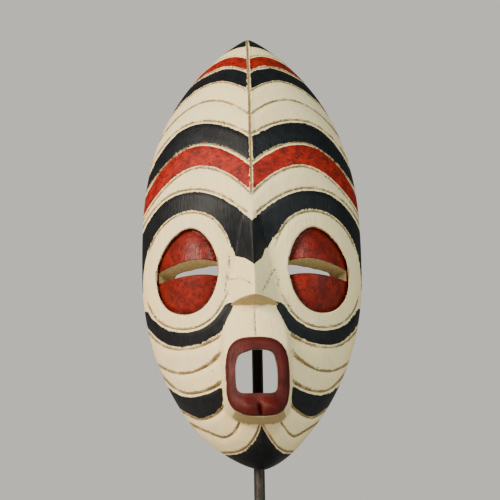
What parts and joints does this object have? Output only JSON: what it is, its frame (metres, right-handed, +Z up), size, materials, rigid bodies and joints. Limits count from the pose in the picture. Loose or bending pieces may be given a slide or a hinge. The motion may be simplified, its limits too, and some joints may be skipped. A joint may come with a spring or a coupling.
{
  "type": "carved wooden mask on display stand",
  "caption": "Tall almond-shaped carved wooden face mask with painted arched bands, slit eyes and open mouth, hung on a forged iron stem with a square base.",
  "frame": {"origin": "centre of the stand's underside, on the stem's axis", "axes": "+Z up along the stem, the mask faces -Y, +X to the viewer's right"},
  "size_m": [0.202, 0.189, 0.52],
  "materials": {
    "painted_wood": "carved wood under chalky cream and black paint with red lacquered bands, eyelids and lips; bare wood inside",
    "forged_iron": "hammered, waxed black with brown rust tints",
    "black_rubber": "matte",
    "blackened_steel": "satin black patina",
    "bright_steel": "machined",
    "green_felt": "wool felt"
  },
  "bodies": {
    "stand_base": {"base_plate": "blackened_steel", "base_felt": "green_felt", "socket_boss": "blackened_steel", "boss_bolt": "bright_steel", "lock_screw": "bright_steel"},
    "stand_stem": {"stem": "forged_iron", "peg_sleeve": "black_rubber", "chin_bumper": "black_rubber"},
    "hung_mask": {"mask": "painted_wood"}
  },
  "joints": [
    {"name": "stem_turn", "type": "hinge", "parent": "stand_base", "child": "stand_stem", "pos_m": [0, 0, 0.03], "axis": [0, 0, 1], "continuous": true},
    {"name": "mask_lift", "type": "slide", "parent": "stand_stem", "child": "hung_mask", "axis": [0, -0.7071, 0.7071], "range_m": [0, 0.12]}
  ]
}
